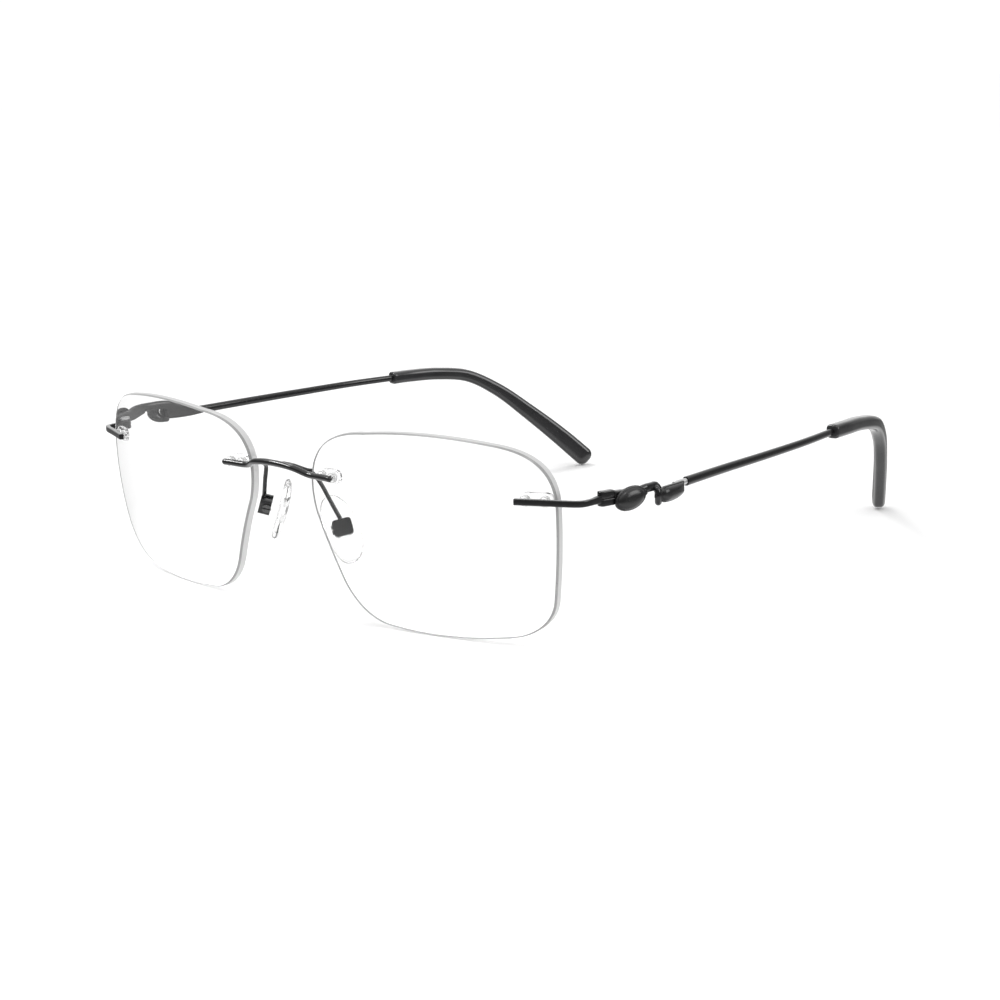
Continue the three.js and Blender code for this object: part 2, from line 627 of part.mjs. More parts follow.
function buildHalf(parent, side) {
  const lens = lensFrame(parent);
  const nasalStandoff = BRIDGE_RADIUS + FIT_GAP;
  const temporalStandoff = BAR_DEPTH / 2 + FIT_GAP;
  const nasalFoot = footFrame(parent, lens, NASAL_FOOT, nasalStandoff);
  const temporalFoot = footFrame(parent, lens, TEMPORAL_FOOT, temporalStandoff);
  const holes = [...lensHoles(lens, nasalFoot, NASAL_FOOT), ...lensHoles(lens, temporalFoot, TEMPORAL_FOOT)];
  part(lens, `${side}_lens`, cut(lensBlank(), ...holes), clearLens);
  lensFixings(side, "nasal", nasalFoot, NASAL_FOOT, nasalStandoff);
  lensFixings(side, "temporal", temporalFoot, TEMPORAL_FOOT, temporalStandoff);

  const nasal = bridge(nasalFoot.position, nasalFoot.rotation.z);
  const pad = padFrame(parent, side);
  const box = frame(pad, vec(BOX_OFFSET, 0, 0));
  part(parent, `${side}_pad_arm`, padArm(nasal, pad), blackMetal);
  part(box, `${side}_pad_box`, padBox(), blackMetal);
  part(box, `${side}_pad_screw`, padScrew(), brightSteel);
  part(box, `${side}_pad_insert`, padInsert(), clearPlug);
  part(pad, `${side}_nose_pad`, padCushion(), clearSilicone);

  const hinge = hingeFrame(parent);
  part(hinge, `${side}_endpiece`, endpiece(temporalFoot, hinge), blackMetal);
  part(hinge, `${side}_hinge_screw`, hingeScrew(), darkSteel);

  const leaf = frame(parent, LEAF_CENTRE, -LEAF_TURN);
  const wireStart = vec(68.9, WIRE_START_Y - FIT_GAP, 27);
  part(hinge, `${side}_temple_link`, templeLink(hinge, leaf, wireStart), blackMetal);
  part(hinge, `${side}_oval_plaque`, ovalPlaque(), blackMetal);
  part(leaf, `${side}_leaf_plaque`, leafPlaque(), blackMetal);
  part(parent, `${side}_temple_wire`, templeWire(), blackMetal);
  part(parent, `${side}_temple_tip`, templeTip(), blackAcetate);
  return nasal;
}

const glasses = new THREE.Group();
glasses.position.y = -DEPTH_MIDDLE;

const leftHalf = new THREE.Group();
const rightHalf = new THREE.Group();
rightHalf.scale.x = -1;
glasses.add(leftHalf, rightHalf);
const nasal = buildHalf(leftHalf, "left");
buildHalf(rightHalf, "right");
part(glasses, "bridge", nasal.geometry, blackMetal);

export default glasses;
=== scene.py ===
import math

import bmesh
import bpy
import numpy as np
from mathutils import Matrix, Vector


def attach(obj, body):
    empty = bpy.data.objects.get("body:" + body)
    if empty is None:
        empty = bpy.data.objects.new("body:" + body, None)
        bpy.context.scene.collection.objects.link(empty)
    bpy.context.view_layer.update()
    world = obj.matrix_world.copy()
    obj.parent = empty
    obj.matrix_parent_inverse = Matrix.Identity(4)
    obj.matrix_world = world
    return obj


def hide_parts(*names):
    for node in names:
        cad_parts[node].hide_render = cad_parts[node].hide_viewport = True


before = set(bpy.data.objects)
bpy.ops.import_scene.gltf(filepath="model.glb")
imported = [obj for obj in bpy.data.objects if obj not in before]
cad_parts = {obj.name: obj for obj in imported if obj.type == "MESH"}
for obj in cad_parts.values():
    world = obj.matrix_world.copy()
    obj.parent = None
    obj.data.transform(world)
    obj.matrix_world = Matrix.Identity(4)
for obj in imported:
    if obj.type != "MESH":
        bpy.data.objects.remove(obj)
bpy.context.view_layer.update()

# ---- Driving dimensions, in millimetres, as the CAD part has them --------------------------------
# One half is described, with x measured outward from the nose and y back from the lens fronts.

MM = 0.001
DEPTH_MIDDLE = 68.29  # the row frame's y = 0, measured back from the lens fronts

LENS_THICKNESS = 1.8
LENS_CURVE_RADIUS = 95
LENS_POWER_CURVE = 1 / 290  # how much flatter the back is than the front: a mild reading lens
LENS_POWER_CENTRE = (-2, 5)  # the optical centre, towards the nose and above the middle
LENS_POWER_BELOW = 10  # how far below that centre the bending still grows
LENS_WRAP = math.radians(9.8)
LENS_LEAN = math.radians(3.5)
LENS_CENTRE = Vector((37, 2.75, 19.18))
LENS_HOLE_RADIUS = 0.92
DRILL_REACH = 3
DRILL_MIDDLE = 2  # behind the foot, halfway along the drill's run
LENS_BEVEL = 0.32
LENS_HALF_WIDTH = 26

BRIDGE_RADIUS = 0.62
BRIDGE_RISE = 1.6
BRIDGE_BOW = 1.1
FIT_GAP = 0.06
NASAL_FOOT = {"u": -24.2, "v": 8.6, "inner": -4.2, "outer": 2.5, "pin_spacing": 3.1}
TEMPORAL_FOOT = {"u": 22.4, "v": 8.17, "inner": -3.5, "outer": 9.1, "pin_spacing": 3.7}
BAR_DEPTH = 0.95
BAR_HEIGHT = 1.15

PAD_WIDTH = 6.7
PAD_LENGTH = 13.2
PAD_THICKNESS = 1.9
PAD_CENTRE = {"left": Vector((9.4, 9.2, 16.15)), "right": Vector((9.4, 9.2, 17.4))}
PAD_UP = Vector((-0.351, 0.06, 0.934)).normalized()
PAD_OUT = Vector((0.671, -0.68, 0.296))
BOX_OFFSET = 0.1
BOX_LENGTH = 3.2
BOX_OUTER = 4.7
ARM_RADIUS = 0.42

HINGE_AXIS = Vector((65.9, 19.1, 0))
HINGE_TURN = math.radians(14.4)
BARREL_RADIUS = 1.15
BARREL_LEVELS = ((25.9, 26.46), (26.52, 27.12), (27.18, 27.74))
BLOCK_BOTTOM = 26.15
BLOCK_GROOVE = 27.5
BLOCK_GROOVE_HALF = 0.06
BLOCK_TOP = 28.85
PLATE_INNER = 1.3
PLATE_OUTER = 2.7
OVAL_CENTRE = Vector((PLATE_OUTER + FIT_GAP, 3.1, 26.95))
OVAL_TILT = math.radians(12)
LEAF_CENTRE = Vector((70.25, 31.7, 26.2))
LEAF_TURN = math.radians(-6)
WIRE_START_Y = 37.7
TIP_START_Y = 91.3

SIDES = ("left", "right")

# The camera stands where the photographer stood, in the row frame.
CAMERA_PLACE = Vector((0.32731, -0.28100 - DEPTH_MIDDLE * MM, 0.11518))
CAMERA_AZIMUTH = math.radians(43.754)
CAMERA_ELEVATION = math.radians(12.459)
CAMERA_ROLL = math.radians(-2.270)
CAMERA_LENS = 83.22
CAMERA_SENSOR = 36

# How bright the studio is in reflections by height, from straight down at -1 to straight up at 1, and
# how bright the backdrop is from side-on at 0 to straight behind the glasses at 1. The backdrop stands
# on the table, and the far part of the table is dark. 1 on the ramps is TENT_BRIGHTNESS.
STUDIO_WHITE = 1.04
TENT_BRIGHTNESS = 1.6
TENT_LEVELS = [
    (-1, 0.5), (-0.55, 1), (-0.37, 0.8), (-0.27, 0.25), (-0.1, 0.15), (0.05, 0.12),
    (0.3, 0.25), (0.5, 0.55), (0.7, 0.85), (0.9, 1),
]
BACKDROP_LEVELS = [(0.3, 0), (0.6, 0.3), (0.85, 0.7), (1, 0.9)]
BACKDROP_FOOT = (-0.1, 0)


# ---- Materials -----------------------------------------------------------------------------------


def new_material(name):
    material = bpy.data.materials.new(name)
    material.use_nodes = True
    tree = material.node_tree
    return material, tree, tree.nodes["Principled BSDF"]


def add_node(tree, kind, **sockets):
    node = tree.nodes.new(kind)
    for name, value in sockets.items():
        node.inputs[name.replace("_", " ")].default_value = value
    return node


def noise(tree, scale, detail=3.0, roughness=0.55):
    place = tree.nodes.new("ShaderNodeTexCoord")
    texture = add_node(tree, "ShaderNodeTexNoise", Scale=scale, Detail=detail, Roughness=roughness)
    tree.links.new(place.outputs["Object"], texture.inputs["Vector"])
    return texture.outputs["Fac"]


def math_node(tree, operation, first, second):
    """A Math node on a socket and a second socket or number."""
    node = tree.nodes.new("ShaderNodeMath")
    node.operation = operation
    tree.links.new(first, node.inputs[0])
    if isinstance(second, float):
        node.inputs[1].default_value = second
    else:
        tree.links.new(second, node.inputs[1])
    return node.outputs["Value"]


def between(tree, factor, low, high):
    """Maps a 0 to 1 socket to a range of numbers."""
    node = add_node(tree, "ShaderNodeMapRange", To_Min=low, To_Max=high)
    tree.links.new(factor, node.inputs["Value"])
    return node.outputs["Result"]


def colour_ramp(tree, factor, *stops):
    """A ramp through (position, (r, g, b)) stops."""
    ramp = tree.nodes.new("ShaderNodeValToRGB")
    elements = ramp.color_ramp.elements
    while len(elements) < len(stops):
        elements.new(0.5)
    for element, (position, colour) in zip(elements, stops):
        element.position = position
        element.color = (*colour, 1)
    tree.links.new(factor, ramp.inputs["Fac"])
    return ramp.outputs["Color"]


def bump(tree, shader, height, strength, distance):
    node = add_node(tree, "ShaderNodeBump", Strength=strength, Distance=distance)
    tree.links.new(height, node.inputs["Height"])
    tree.links.new(node.outputs["Normal"], shader.inputs["Normal"])


def grey(value):
    return (value, value, value)


def black_plating(name, low, high):
    """Black plating between two roughnesses: nearly flat, with the faint cloudiness and orange peel of a
    dipped coat."""
    material, tree, shader = new_material(name)
    cloud = noise(tree, 900, 4)
    colour = colour_ramp(tree, cloud, (0.3, (0.007, 0.007, 0.0075)), (0.75, (0.012, 0.012, 0.0125)))
    tree.links.new(colour, shader.inputs["Base Color"])
    tree.links.new(between(tree, cloud, low, high), shader.inputs["Roughness"])
    shader.inputs["IOR"].default_value = 1.46
    bump(tree, shader, noise(tree, 2600, 2), 0.12, 0.00002)
    return material


def acetate():
    """Polished black plastic sleeve: deeper gloss than the metal, with very faint moulding waves."""
    material, tree, shader = new_material("black_sleeve")
    cloud = noise(tree, 260, 3)
    colour = colour_ramp(tree, cloud, (0.25, (0.016, 0.016, 0.017)), (0.8, (0.024, 0.024, 0.025)))
    tree.links.new(colour, shader.inputs["Base Color"])
    tree.links.new(between(tree, cloud, 0.1, 0.2), shader.inputs["Roughness"])
    shader.inputs["IOR"].default_value = 1.5
    bump(tree, shader, noise(tree, 420, 1), 0.08, 0.00004)
    return material


def steel(name, low, high):
    """Turned steel: fine grain in its roughness and brightness."""
    material, tree, shader = new_material(name)
    grain = noise(tree, 4200, 5, 0.7)
    colour = colour_ramp(tree, grain, (0.3, grey(low)), (0.7, grey(high)))
    tree.links.new(colour, shader.inputs["Base Color"])
    tree.links.new(between(tree, grain, 0.2, 0.38), shader.inputs["Roughness"])
    shader.inputs["Metallic"].default_value = 1
    bump(tree, shader, grain, 0.15, 0.00002)
    return material


def clear(name, ior, centre, rim, rough, grain_scale, see_through=1.0):
    """See-through material whose colour darkens towards its outline: painted shade, a grey rim set by how far
    the surface turns away from the view. Lamps shine through it. Less see-through than 1 mixes in the pale
    scatter of a ground surface."""
    material, tree, shader = new_material(name)
    facing = add_node(tree, "ShaderNodeLayerWeight", Blend=0.35)
    # Painted shade: the base colour greys from centre to rim as the surface turns edge-on.
    colour = colour_ramp(tree, facing.outputs["Facing"], (0.35, grey(centre)), (0.95, grey(rim)))
    tree.links.new(colour, shader.inputs["Base Color"])
    grain = noise(tree, grain_scale, 3)
    tree.links.new(between(tree, grain, 0.7 * rough, 1.3 * rough), shader.inputs["Roughness"])
    shader.inputs["Transmission Weight"].default_value = see_through
    shader.inputs["IOR"].default_value = ior
    lamp_light = add_node(tree, "ShaderNodeBsdfTransparent", Color=(0.94, 0.94, 0.94, 1))
    path = tree.nodes.new("ShaderNodeLightPath")
    switch = tree.nodes.new("ShaderNodeMixShader")
    tree.links.new(path.outputs["Is Shadow Ray"], switch.inputs["Fac"])
    tree.links.new(shader.outputs["BSDF"], switch.inputs[1])
    tree.links.new(lamp_light.outputs["BSDF"], switch.inputs[2])
    tree.links.new(switch.outputs["Shader"], tree.nodes["Material Output"].inputs["Surface"])
    return material


def floor_paper():
    """Matt white studio paper with a barely visible tooth."""
    material, tree, shader = new_material("studio_paper")
    tooth = noise(tree, 300, 4)
    colour = colour_ramp(tree, tooth, (0.3, grey(0.975)), (0.7, grey(0.985)))
    tree.links.new(colour, shader.inputs["Base Color"])
    shader.inputs["Roughness"].default_value = 1
    shader.inputs["Specular IOR Level"].default_value = 0
    return material


PLATING = black_plating("black_plating", 0.08, 0.17)
CABOCHON = black_plating("black_cabochon", 0.2, 0.3)
SLEEVE = acetate()
SCREW_STEEL = steel("screw_steel", 0.35, 0.6)
PIN_STEEL = steel("pin_steel", 0.5, 0.75)
BLACK_SCREW = steel("black_screw", 0.05, 0.12)
LENS_FACE = clear("lens_face", 1.6, 1.0, 0.97, 0.0, 600)
# An anti-reflection coating: the faces mirror nothing square on.
LENS_FACE.node_tree.nodes["Principled BSDF"].inputs["Specular Tint"].default_value = (0, 0, 0, 1)
# The edges let some light through and scatter the rest like a ground surface. Their grey, and the darker grey
# of the thin bevels beside them, is painted shade for the outlines a lens edge shows.
LENS_EDGE = clear("lens_edge", 1.4, 0.56, 0.46, 0.4, 2500, 0.25)
LENS_CORNER = clear("lens_corner", 1.4, 0.3, 0.25, 0.3, 2500, 0.1)
# Their outlines darken to painted shade: strongly on the nose pads, less on the clear plastic.
SILICONE = clear("clear_silicone", 1.38, 0.98, 0.6, 0.06, 1200)
CLEAR_PLASTIC = clear("clear_plastic", 1.4, 0.98, 0.8, 0.05, 1500)


# ---- Mesh building -------------------------------------------------------------------------------


def half_to_row(side):
    """Takes a point of one half, in millimetres, to the row frame, in metres."""
    outward = MM if side == "left" else -MM
    return Matrix.Diagonal((outward, MM, MM, 1)) @ Matrix.Translation((0, -DEPTH_MIDDLE, 0))


def make_piece(name, vertices, faces, side, materials, face_materials=None, place=None):
    """A mesh object from points of one half, in millimetres. place moves them within the half first."""
    mesh = bpy.data.meshes.new(name)
    mesh.from_pydata([tuple(v) for v in vertices], [], faces)
    for material in materials:
        mesh.materials.append(material)
    if face_materials is not None:
        mesh.polygons.foreach_set("material_index", face_materials)
    mesh.transform(half_to_row(side) @ (place or Matrix.Identity(4)))
    piece = bpy.data.objects.new(name, mesh)
    bpy.context.scene.collection.objects.link(piece)
    face_out(mesh)
    smooth(mesh, 35)
    return piece


def face_out(mesh):
    work = bmesh.new()
    work.from_mesh(mesh)
    bmesh.ops.recalc_face_normals(work, faces=work.faces)
    work.to_mesh(mesh)
    work.free()


def smooth(mesh, angle):
    """Smooth shading, apart from edges sharper than an angle in degrees."""
    mesh.polygons.foreach_set("use_smooth", [True] * len(mesh.polygons))
    mesh.set_sharp_from_angle(angle=math.radians(angle))


def loft(rings):
    """Vertices and faces of a closed skin over rings of points, capped at both ends."""
    count = len(rings[0])
    faces = ring_faces(len(rings), count)
    faces.append(tuple(range(count)))
    faces.append(tuple(range((len(rings) - 1) * count, len(rings) * count)))
    return [tuple(point) for ring in rings for point in ring], faces


def together(*parts):
    """Several parts' vertices and faces as one mesh."""
    vertices, faces = [], []
    for part_vertices, part_faces in parts:
        start = len(vertices)
        vertices.extend(part_vertices)
        faces.extend(tuple(start + i for i in face) for face in part_faces)
    return vertices, faces


def moved(place, part):
    return [place @ Vector(vertex) for vertex in part[0]], part[1]


def ring_faces(rings, count):
    """Quads between successive rings of count points, numbered one ring after the other."""
    return [
        (r * count + i, r * count + (i + 1) % count, (r + 1) * count + (i + 1) % count, (r + 1) * count + i)
        for r in range(rings - 1)
        for i in range(count)
    ]


def catmull_rom(points, samples):
    """Evenly spaced points on a centripetal Catmull-Rom curve."""
    control = np.array([list(p) for p in points], float)
    control = np.vstack([2 * control[0] - control[1], control, 2 * control[-1] - control[-2]])
    dense = [control[1]]
    for p0, p1, p2, p3 in zip(control, control[1:], control[2:], control[3:]):
        d0, d1, d2 = (max(np.linalg.norm(b - a), 1e-6) ** 0.5 for a, b in ((p0, p1), (p1, p2), (p2, p3)))
        start = ((p1 - p0) / d0 - (p2 - p0) / (d0 + d1) + (p2 - p1) / d1) * d1
        end = ((p2 - p1) / d1 - (p3 - p1) / (d1 + d2) + (p3 - p2) / d2) * d1
        for t in np.linspace(0, 1, 41)[1:]:
            hermite = (2 * t**3 - 3 * t**2 + 1, t**3 - 2 * t**2 + t, 3 * t**2 - 2 * t**3, t**3 - t**2)
            dense.append(hermite[0] * p1 + hermite[1] * start + hermite[2] * p2 + hermite[3] * end)
    return resample(np.array(dense), np.linspace(0, 1, samples))


def resample(line, shares):
    """Points at given shares of a line's length."""
    steps = np.linalg.norm(np.diff(line, axis=0), axis=1)
    along = np.concatenate([[0], np.cumsum(steps)]) / steps.sum()
    return np.stack([np.interp(shares, along, line[:, k]) for k in range(line.shape[1])], axis=1)


def bezier(points, samples=24):
    """Points on a Bezier curve of two or three degrees, without its last point."""
    t = np.linspace(0, 1, samples, endpoint=False)[:, None]
    p = [np.array(point, float) for point in points]
    if len(p) == 3:
        return (1 - t) ** 2 * p[0] + 2 * t * (1 - t) * p[1] + t**2 * p[2]
    return (1 - t) ** 3 * p[0] + 3 * t * (1 - t) ** 2 * p[1] + 3 * t**2 * (1 - t) * p[2] + t**3 * p[3]


def closed_outline(segments, count):
    """Evenly spaced points round a closed outline of Bezier segments, each starting where the last ends."""
    line = np.vstack([bezier(segment) for segment in segments])
    line = np.vstack([line, line[:1]])
    return resample(line, np.linspace(0, 1, count, endpoint=False))


def rod(line, wide, tall, sides=24, corner=1.0):
    """Vertices and faces of a rod along a line of points. wide and tall are half widths at each point.
    A corner under 1 squares off the round section."""
    tangents = np.gradient(line, axis=0)
    tangents /= np.linalg.norm(tangents, axis=1)[:, None]
    sideways = np.cross([0, 0, 1], tangents)
    sideways /= np.linalg.norm(sideways, axis=1)[:, None]
    upward = np.cross(tangents, sideways)
    angles = np.linspace(0, 2 * math.pi, sides, endpoint=False)
    section = [np.sign(f(angles)) * np.abs(f(angles)) ** corner for f in (np.cos, np.sin)]
    rings = (
        line[:, None]
        + sideways[:, None] * (wide[:, None] * section[0])[..., None]
        + upward[:, None] * (tall[:, None] * section[1])[..., None]
    )
    return loft(rings)


def rounded_shares(length, start, end, middle=60):
    """Shares of a rod's length, dense at its rounded ends, and the share of its width kept at each."""
    turn = np.linspace(0.06, 1, 9) * math.pi / 2
    first, last = start / length, end / length
    shares = np.concatenate([
        first * (1 - np.cos(turn)),
        np.linspace(first, 1 - last, middle)[1:-1],
        1 - last * (1 - np.cos(turn[::-1])),
    ])
    kept = np.concatenate([np.sin(turn), np.ones(middle - 2), np.sin(turn[::-1])])
    return shares, kept


def rounded_rod(control, half_wide, half_tall, start, end, sides=24, corner=1.0, middle=60):
    """A rod with rounded ends. The half widths are functions of the share of the length."""
    dense = catmull_rom(control, 600)
    length = np.linalg.norm(np.diff(dense, axis=0), axis=1).sum()
    shares, kept = rounded_shares(length, start, end, middle)
    line = resample(dense, shares)
    wide = np.array([half_wide(share) for share in shares])
    tall = np.array([half_tall(share) for share in shares])
    # The ends round off by a fixed radius across, and by as much as they are long in height.
    radius = np.where(shares < 0.5, start, end)
    lost = [np.minimum(radius, half) * (1 - kept) for half in (wide, tall)]
    return rod(line, wide - lost[0], tall - lost[1], sides, corner)


def disc(outline, rings):
    """A closed disc: rings of (share of the outline, height), from the middle of the back to the middle
    of the front."""
    return loft([[(x * share, y * share, height) for x, y in outline] for share, height in rings])


def inset(outline, distance):
    """An anticlockwise outline drawn in by a distance."""
    along = np.roll(outline, -1, axis=0) - np.roll(outline, 1, axis=0)
    along /= np.linalg.norm(along, axis=1)[:, None]
    return outline + distance * np.stack([-along[:, 1], along[:, 0]], axis=1)


def rounded_slab(outline, low, high, edge):
    """A flat anticlockwise outline thickened from low to high, its edges rounded by a radius."""
    turns = np.linspace(0, math.pi / 2, 6)
    drawn_in = [(edge * (1 - math.sin(turn)), edge * (1 - math.cos(turn))) for turn in turns]
    levels = [(by, low + up) for by, up in drawn_in] + [(by, high - up) for by, up in reversed(drawn_in)]
    return loft([[(x, y, height) for x, y in inset(outline, by)] for by, height in levels])


def rounded_polygon(corners, cut, count=72):
    """An outline with straight sides and rounded corners that each start a distance from the corner."""
    points = [np.array(corner, float) for corner in corners]
    turns = []
    for before, corner, after in zip(points[-1:] + points[:-1], points, points[1:] + points[:1]):
        ends = [corner + (other - corner) * cut / np.linalg.norm(other - corner) for other in (before, after)]
        turns.append([ends[0], corner, ends[1]])
    segments = []
    for turn, following in zip(turns, turns[1:] + turns[:1]):
        segments += [turn, [turn[2], (turn[2] + following[0]) / 2, following[0]]]
    return closed_outline(segments, count)


def bush(inner, outer, low, high, edge, sides=40):
    """A round sleeve along z with its edges broken."""
    part = 0.3 * edge
    section = [
        (outer, low + edge), (outer, high - edge), (outer - part, high - part), (outer - edge, high),
        (inner, high), (inner, low), (outer - edge, low), (outer - part, low + part),
    ]
    angles = np.linspace(0, 2 * math.pi, sides, endpoint=False)
    vertices = [(r * math.cos(a), r * math.sin(a), z) for a in angles for r, z in section]
    around = ring_faces(sides, len(section))
    last = (sides - 1) * len(section)
    for i in range(len(section)):
        after = (i + 1) % len(section)
        around.append((last + i, last + after, after, i))
    return vertices, around


def smoothstep(x, low, high):
    t = min(1, max(0, (x - low) / (high - low)))
    return t * t * (3 - 2 * t)


# ---- Frames within one half, as in the CAD part --------------------------------------------------


def turned(place, turn):
    return Matrix.Translation(place) @ Matrix.Rotation(turn, 4, "Z")


LENS_PLACE = turned(LENS_CENTRE, LENS_WRAP) @ Matrix.Rotation(math.pi / 2 + LENS_LEAN, 4, "X")
HINGE_PLACE = turned(HINGE_AXIS, -HINGE_TURN)
LEAF_PLACE = turned(LEAF_CENTRE, -LEAF_TURN)
SIDE_VIEW = Matrix(((0, 0, 1, 0), (1, 0, 0, 0), (0, 1, 0, 0), (0, 0, 0, 1)))  # (back, up, outward) to x, y, z


def lens_sag(u, v):
    return (u * u + v * v) / (2 * LENS_CURVE_RADIUS)


def foot_place(foot, standoff):
    height = LENS_THICKNESS / 2 + standoff - lens_sag(foot["u"], foot["v"])
    point = LENS_PLACE @ Vector((foot["u"], foot["v"], height))
    return turned(point, LENS_WRAP + foot["u"] / LENS_CURVE_RADIUS)


def pad_place(side):
    across = PAD_UP.cross(PAD_OUT).normalized()
    outward = across.cross(PAD_UP)
    turn = Matrix((across, PAD_UP, outward)).transposed().to_4x4()
    return Matrix.Translation(PAD_CENTRE[side]) @ turn


NASAL_STANDOFF = BRIDGE_RADIUS + FIT_GAP
TEMPORAL_STANDOFF = BAR_DEPTH / 2 + FIT_GAP
NASAL_PLACE = foot_place(NASAL_FOOT, NASAL_STANDOFF)
TEMPORAL_PLACE = foot_place(TEMPORAL_FOOT, TEMPORAL_STANDOFF)


# ---- Lens ----------------------------------------------------------------------------------------


def lens_outline(count=240):
    return closed_outline([
        [(13.8, -18.3), (20.6, -17.7), (24.4, -14.2), (25, -10)],
        [(25, -10), (26.7, -1), (26.45, 7.8)],
        [(26.45, 7.8), (25.8, 14.9), (20.2, 17.1), (13.8, 17.8)],
        [(13.8, 17.8), (0, 19.7), (-13.8, 17.85)],
        [(-13.8, 17.85), (-26.6, 17.1), (-30.4, 10.6), (-27.75, 1.6)],
        [(-27.75, 1.6), (-24.8, -5), (-22.3, -10.6)],
        [(-22.3, -10.6), (-20.3, -15.3), (-16.3, -18.4), (-11.9, -18.8)],
        [(-11.9, -18.8), (1, -19.95), (13.8, -18.3)],
    ], count)


def lens(side):
    """The curved blank with bevelled edges, and the four drilled holes."""
    half = LENS_THICKNESS / 2
    shares = [0.02, 0.15, 0.3, 0.45, 0.6, 0.75, 0.88, 1 - LENS_BEVEL / LENS_HALF_WIDTH]
    back = [(share, -half) for share in shares]
    edge = [(1, -half + LENS_BEVEL), (1, half - LENS_BEVEL)]
    front = [(share, half) for share in reversed(shares)]
    outline = lens_outline()
    vertices, faces = disc(outline, [*back, *edge, *front])
    vertices = [(u, v, height - lens_sag(u, v)) for u, v, height in vertices]
    bands = {len(back) - 1: 2, len(back): 1, len(back) + 1: 2}
    kinds = [bands.get(i // len(outline), 0) for i in range(len(faces))]
    materials = [LENS_FACE, LENS_EDGE, LENS_CORNER]
    piece = make_piece(f"{side}_lens_glass", vertices, faces, side, materials, kinds, LENS_PLACE)
    for place, foot in ((NASAL_PLACE, NASAL_FOOT), (TEMPORAL_PLACE, TEMPORAL_FOOT)):
        for way in (-0.5, 0.5):
            through = Matrix.Translation((way * foot["pin_spacing"], DRILL_MIDDLE, 0))
            drill(piece, side, place @ through)
    shade_lens(piece.data, side)
    piece.visible_glossy = False  # light caught inside the lens leaves it at once
    return piece


def drill(piece, side, place):
    """Cuts a round hole along the place's y axis."""
    sides = 32
    angles = np.linspace(0, 2 * math.pi, sides, endpoint=False)
    circle = [(LENS_HOLE_RADIUS * math.cos(a), LENS_HOLE_RADIUS * math.sin(a)) for a in angles]
    vertices = [(x, y, z) for y in (-DRILL_REACH, DRILL_REACH) for x, z in circle]
    faces = [*ring_faces(2, sides), tuple(range(sides)), tuple(range(sides, 2 * sides))]
    cutter = make_piece("drill", vertices, faces, side, [LENS_EDGE], None, place)
    hole = piece.modifiers.new("hole", "BOOLEAN")
    hole.operation = "DIFFERENCE"
    hole.solver = "EXACT"
    hole.material_mode = "TRANSFER"
    hole.object = cutter
    keep_modified(piece)
    bpy.data.objects.remove(cutter)


def keep_modified(piece):
    """Applies a piece's modifiers to its mesh."""
    bpy.context.view_layer.update()
    result = piece.evaluated_get(bpy.context.evaluated_depsgraph_get())
    piece.data = bpy.data.meshes.new_from_object(result)
    piece.modifiers.clear()


def shade_lens(mesh, side):
    """Gives the two polished faces the exact normals of their curves, so the holes don't dent them. The
    back's are a reading lens's, which shows the temple behind it a little larger and further out."""
    to_lens = (half_to_row(side) @ LENS_PLACE).inverted()
    turn = to_lens.inverted().to_3x3()
    normals = np.zeros((len(mesh.loops), 3), np.float32)
    mesh.loops.foreach_get("normal", normals.ravel())
    for face in mesh.polygons:
        if face.material_index:
            continue
        in_front = (to_lens.to_3x3() @ face.normal).z > 0
        for loop in face.loop_indices:
            u, v, _ = to_lens @ mesh.vertices[mesh.loops[loop].vertex_index].co
            curve = Vector((u / LENS_CURVE_RADIUS, v / LENS_CURVE_RADIUS, 1))
            if not in_front:
                curve.x -= (u - LENS_POWER_CENTRE[0]) * LENS_POWER_CURVE
                curve.y -= max(-LENS_POWER_BELOW, v - LENS_POWER_CENTRE[1]) * LENS_POWER_CURVE
                curve.negate()
            normals[loop] = (turn @ curve).normalized()
    mesh.normals_split_custom_set(normals)


# ---- Bridge and pad arms -------------------------------------------------------------------------


def along_foot(outward):
    return NASAL_PLACE @ Vector((outward, 0, 0))


CROWN = Vector((0, along_foot(0).y - BRIDGE_BOW, along_foot(0).z + BRIDGE_RISE))
SHOULDER = Vector((5.4, CROWN.y + 0.3, CROWN.z - 0.42))


def bridge():
    half = [SHOULDER, along_foot(NASAL_FOOT["inner"]), along_foot(0), along_foot(NASAL_FOOT["outer"])]
    mirrored = [Vector((-p.x, p.y, p.z)) for p in reversed(half)]
    radius = lambda share: BRIDGE_RADIUS
    vertices, faces = rounded_rod([*mirrored, CROWN, *half], radius, radius, 0.6, 0.6, middle=120)
    return make_piece("bridge_wire", vertices, faces, "left", [PLATING])


def pad_arm(side):
    pad = pad_place(side)
    end = pad @ Vector((BOX_OFFSET, BOX_LENGTH / 2 + 0.02, BOX_OUTER - 0.5))
    bend = Vector((8.55, 4.7, PAD_CENTRE[side].z + 9.5))
    behind = BRIDGE_RADIUS + ARM_RADIUS + FIT_GAP
    inner = along_foot(NASAL_FOOT["inner"])
    control = [
        Vector((1.6, CROWN.y + behind + 0.05, CROWN.z - 0.1)),
        Vector((4.6, CROWN.y + behind + 0.3, SHOULDER.z + 0.15)),
        Vector((6.9, inner.y + behind + 0.35, inner.z + 0.4)),
        Vector((7.7, 3.1, 27.9)),
        bend,
        bend.lerp(end, 0.5),
        end,
    ]
    radius = lambda share: ARM_RADIUS
    vertices, faces = rounded_rod(control, radius, radius, 0.4, 0.05, sides=16, middle=80)
    return make_piece(f"{side}_pad_arm_wire", vertices, faces, side, [PLATING])


# ---- Nose pads -----------------------------------------------------------------------------------


